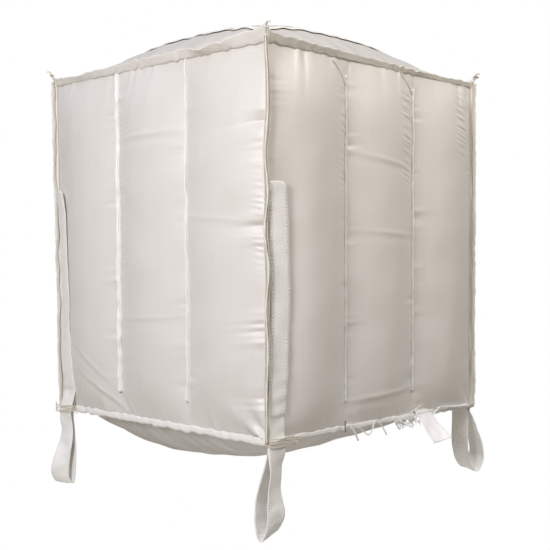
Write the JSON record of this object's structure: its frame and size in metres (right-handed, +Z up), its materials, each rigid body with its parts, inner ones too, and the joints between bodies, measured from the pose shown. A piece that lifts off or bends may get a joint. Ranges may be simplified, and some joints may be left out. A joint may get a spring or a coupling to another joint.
{
  "type": "bulk bag",
  "caption": "Square baffle bulk bag of woven fabric, blown up and base upwards, with bays in each side, corner lifting loops, a fill spout, a covered discharge spout and a label tag.",
  "frame": {"origin": "centre of the fill spout's rim, on the spout's axis", "axes": "+Z up, along the fill spout's axis into the bag, towards the base panel; +X and -Y out of two side panels"},
  "size_m": [1.1337, 1.093, 1.5349],
  "materials": {
    "side_fabric": "satin",
    "end_fabric": "satin",
    "baffle_fabric": "satin",
    "hem_tape": "matte",
    "seam_tape": "matte",
    "filler_cord": "matte",
    "webbing": "matte",
    "spout_fabric": "satin",
    "label_paper": "satin"
  },
  "bodies": {
    "bag": {"right_panel": "side_fabric", "base_hem_right": "hem_tape", "top_hem_right": "hem_tape", "first_baffle_seam_right": "seam_tape", "second_baffle_seam_right": "seam_tape", "back_panel": "side_fabric", "base_hem_back": "hem_tape", "top_hem_back": "hem_tape", "first_baffle_seam_back": "seam_tape", "second_baffle_seam_back": "seam_tape", "left_panel": "side_fabric", "base_hem_left": "hem_tape", "top_hem_left": "hem_tape", "first_baffle_seam_left": "seam_tape", "second_baffle_seam_left": "seam_tape", "front_panel": "side_fabric", "base_hem_front": "hem_tape", "top_hem_front": "hem_tape", "first_baffle_seam_front": "seam_tape", "second_baffle_seam_front": "seam_tape", "baffle_front_right": "baffle_fabric", "corner_seam_front_right": "seam_tape", "filler_cord_front_right": "filler_cord", "outer_leg_front_right": "webbing", "inner_leg_front_right": "webbing", "baffle_back_right": "baffle_fabric", "corner_seam_back_right": "seam_tape", "filler_cord_back_right": "filler_cord", "outer_leg_back_right": "webbing", "inner_leg_back_right": "webbing", "baffle_back_left": "baffle_fabric", "corner_seam_back_left": "seam_tape", "filler_cord_back_left": "filler_cord", "outer_leg_back_left": "webbing", "inner_leg_back_left": "webbing", "baffle_front_left": "baffle_fabric", "corner_seam_front_left": "seam_tape", "filler_cord_front_left": "filler_cord", "outer_leg_front_left": "webbing", "inner_leg_front_left": "webbing", "base_panel": "end_fabric", "top_panel": "end_fabric", "fill_spout": "spout_fabric", "discharge_spout": "spout_fabric"},
    "loop_front_right": {"lifting_loop_front_right": "webbing"},
    "loop_back_right": {"lifting_loop_back_right": "webbing"},
    "loop_back_left": {"lifting_loop_back_left": "webbing"},
    "loop_front_left": {"lifting_loop_front_left": "webbing"},
    "label": {"label_tag": "label_paper"},
    "cover": {"discharge_cover": "end_fabric"}
  },
  "joints": [
    {"name": "loop_front_right_swing", "type": "hinge", "parent": "bag", "child": "loop_front_right", "pos_m": [0.514, -0.4585, 0.066], "axis": [0, -1, 0], "range_deg": [-60, 150]},
    {"name": "loop_back_right_swing", "type": "hinge", "parent": "bag", "child": "loop_back_right", "pos_m": [0.4585, 0.514, 0.066], "axis": [1, 0, 0], "range_deg": [-60, 150]},
    {"name": "loop_back_left_swing", "type": "hinge", "parent": "bag", "child": "loop_back_left", "pos_m": [-0.514, 0.4585, 0.066], "axis": [0, 1, 0], "range_deg": [-60, 150]},
    {"name": "loop_front_left_swing", "type": "hinge", "parent": "bag", "child": "loop_front_left", "pos_m": [-0.4585, -0.514, 0.066], "axis": [-1, 0, 0], "range_deg": [-60, 150]},
    {"name": "label_swing", "type": "hinge", "parent": "bag", "child": "label", "pos_m": [0.512, 0.212, 0.102], "axis": [0, -1, 0], "range_deg": [-14, 100]},
    {"name": "cover_lift", "type": "hinge", "parent": "bag", "child": "cover", "pos_m": [0, 0.325, 1.2821], "axis": [-1, 0, 0], "range_deg": [0, 68]}
  ]
}
